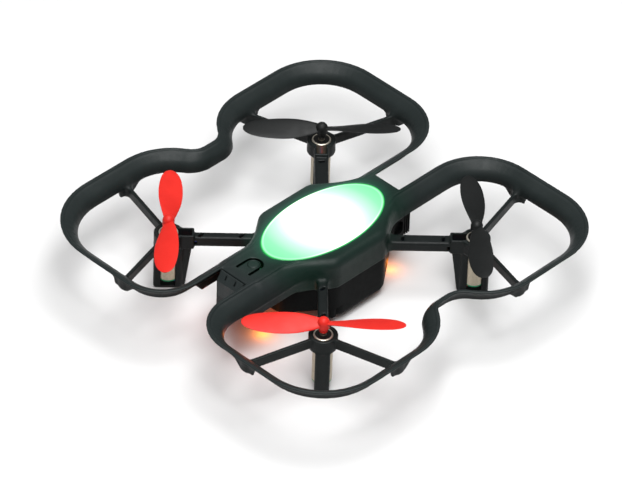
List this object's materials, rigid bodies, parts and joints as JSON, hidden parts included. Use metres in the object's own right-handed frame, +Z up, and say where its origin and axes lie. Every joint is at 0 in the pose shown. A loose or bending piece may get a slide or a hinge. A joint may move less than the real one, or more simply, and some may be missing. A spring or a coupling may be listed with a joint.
{
  "type": "palm quadcopter drone",
  "caption": "Palm-sized quadcopter with flared double-loop propeller guard, oval top light, sliding battery pack, cantilever power button and spinning propellers.",
  "frame": {"origin": "on the ground plane under the centre of the craft", "axes": "+Y towards the nose, +X to the right, +Z up"},
  "size_m": [0.1438, 0.1452, 0.0307],
  "materials": {
    "frame_plastic": "fine satin texture",
    "housing_plastic": "satin",
    "nose_plastic": "satin",
    "light_lens": "frosted, lit from inside",
    "white_plastic": "satin",
    "circuit_board": "solder mask",
    "led_package": "satin",
    "chip_package": "satin",
    "contact_brass": "polished",
    "cell_foil": "satin",
    "dark_window": "polished",
    "under_light": "translucent",
    "screw_steel": "brushed",
    "motor_steel": "satin",
    "motor_cap": "satin",
    "lead_red": "satin",
    "lead_blue": "satin",
    "propeller_black": "fine satin texture",
    "propeller_red": "satin"
  },
  "bodies": {
    "airframe": {"top_shell": "frame_plastic", "guard_left": "frame_plastic", "guard_right": "frame_plastic", "lower_housing": "housing_plastic", "nose_block": "nose_plastic", "light_lens": "light_lens", "light_reflector": "white_plastic", "led_board": "circuit_board", "light_leds": "led_package", "main_board": "circuit_board", "board_chips": "chip_package", "battery_connector": "nose_plastic", "battery_springs": "contact_brass", "switch_board": "circuit_board", "power_switch": "chip_package", "sensor_lens": "dark_window", "nose_window": "dark_window", "belly_light": "under_light", "tail_light": "under_light", "housing_screws": "screw_steel", "arm_front_left": "frame_plastic", "motor_can_front_left": "motor_steel", "motor_cap_front_left": "motor_cap", "lead_red_front_left": "lead_red", "lead_blue_front_left": "lead_blue", "arm_front_right": "frame_plastic", "motor_can_front_right": "motor_steel", "motor_cap_front_right": "motor_cap", "lead_red_front_right": "lead_red", "lead_blue_front_right": "lead_blue", "arm_rear_left": "frame_plastic", "motor_can_rear_left": "motor_steel", "motor_cap_rear_left": "motor_cap", "lead_red_rear_left": "lead_red", "lead_blue_rear_left": "lead_blue", "arm_rear_right": "frame_plastic", "motor_can_rear_right": "motor_steel", "motor_cap_rear_right": "motor_cap", "lead_red_rear_right": "lead_red", "lead_blue_rear_right": "lead_blue"},
    "power_button": {"power_button": "frame_plastic"},
    "battery_pack": {"battery_case": "housing_plastic", "battery_cell": "cell_foil", "battery_terminals": "circuit_board"},
    "rotor_front_left": {"propeller_front_left": "propeller_black", "motor_shaft_front_left": "screw_steel"},
    "rotor_front_right": {"propeller_front_right": "propeller_black", "motor_shaft_front_right": "screw_steel"},
    "rotor_rear_left": {"propeller_rear_left": "propeller_red", "motor_shaft_rear_left": "screw_steel"},
    "rotor_rear_right": {"propeller_rear_right": "propeller_red", "motor_shaft_rear_right": "screw_steel"}
  },
  "joints": [
    {"name": "spin_front_left", "type": "hinge", "parent": "airframe", "child": "rotor_front_left", "pos_m": [-0.0378, 0.0378, 0.0282], "axis": [0, 0, 1], "continuous": true},
    {"name": "spin_front_right", "type": "hinge", "parent": "airframe", "child": "rotor_front_right", "pos_m": [0.0378, 0.0378, 0.0282], "axis": [0, 0, 1], "continuous": true},
    {"name": "spin_rear_left", "type": "hinge", "parent": "airframe", "child": "rotor_rear_left", "pos_m": [-0.0378, -0.0378, 0.0282], "axis": [0, 0, 1], "continuous": true},
    {"name": "spin_rear_right", "type": "hinge", "parent": "airframe", "child": "rotor_rear_right", "pos_m": [0.0378, -0.0378, 0.0282], "axis": [0, 0, 1], "continuous": true},
    {"name": "button_press", "type": "hinge", "parent": "airframe", "child": "power_button", "pos_m": [0, -0.039, 0.0279], "axis": [-1, 0, 0], "range_deg": [0, 4.5], "stiffness_Nm_per_rad": 0.02},
    {"name": "battery_slide", "type": "slide", "parent": "airframe", "child": "battery_pack", "axis": [0, -1, 0], "range_m": [0, 0.0345]}
  ]
}
